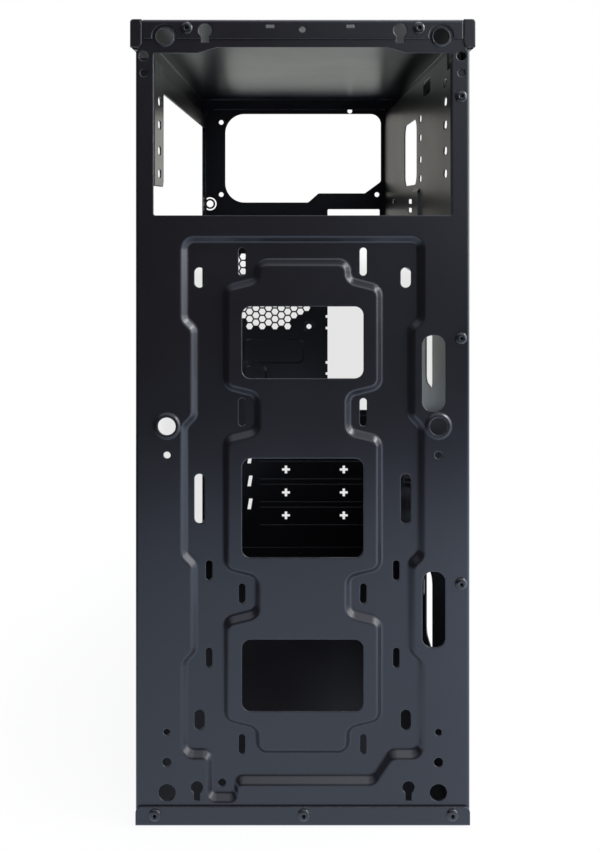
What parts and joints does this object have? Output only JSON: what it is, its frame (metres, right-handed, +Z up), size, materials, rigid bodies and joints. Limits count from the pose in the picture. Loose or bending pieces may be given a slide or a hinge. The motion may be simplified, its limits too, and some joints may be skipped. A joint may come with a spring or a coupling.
{
  "type": "sheet metal computer chassis",
  "caption": "Empty tower computer chassis of black coated folded steel sheet, with a drive bay, pressed front, board tray and slotted rear.",
  "frame": {"origin": "centre of the base, on the surface that the chassis stands on", "axes": "+Z up, the front panel faces -Y, +X to the right seen from the front"},
  "size_m": [0.174, 0.292, 0.407],
  "materials": {
    "black_coat": "semi-gloss powder coat",
    "black_rivet": "glossy coated rivet"
  },
  "bodies": {
    "root": {"front_panel": "black_coat", "top_panel": "black_coat", "bottom_panel": "black_coat", "rear_panel": "black_coat", "motherboard_tray": "black_coat", "drive_bay_bracket": "black_coat", "front_top_rivets": "black_rivet", "front_side_rivets": "black_rivet", "front_base_rivets": "black_rivet", "rear_top_rivets": "black_rivet", "rear_side_rivets": "black_rivet", "rear_base_rivets": "black_rivet"}
  },
  "joints": []
}
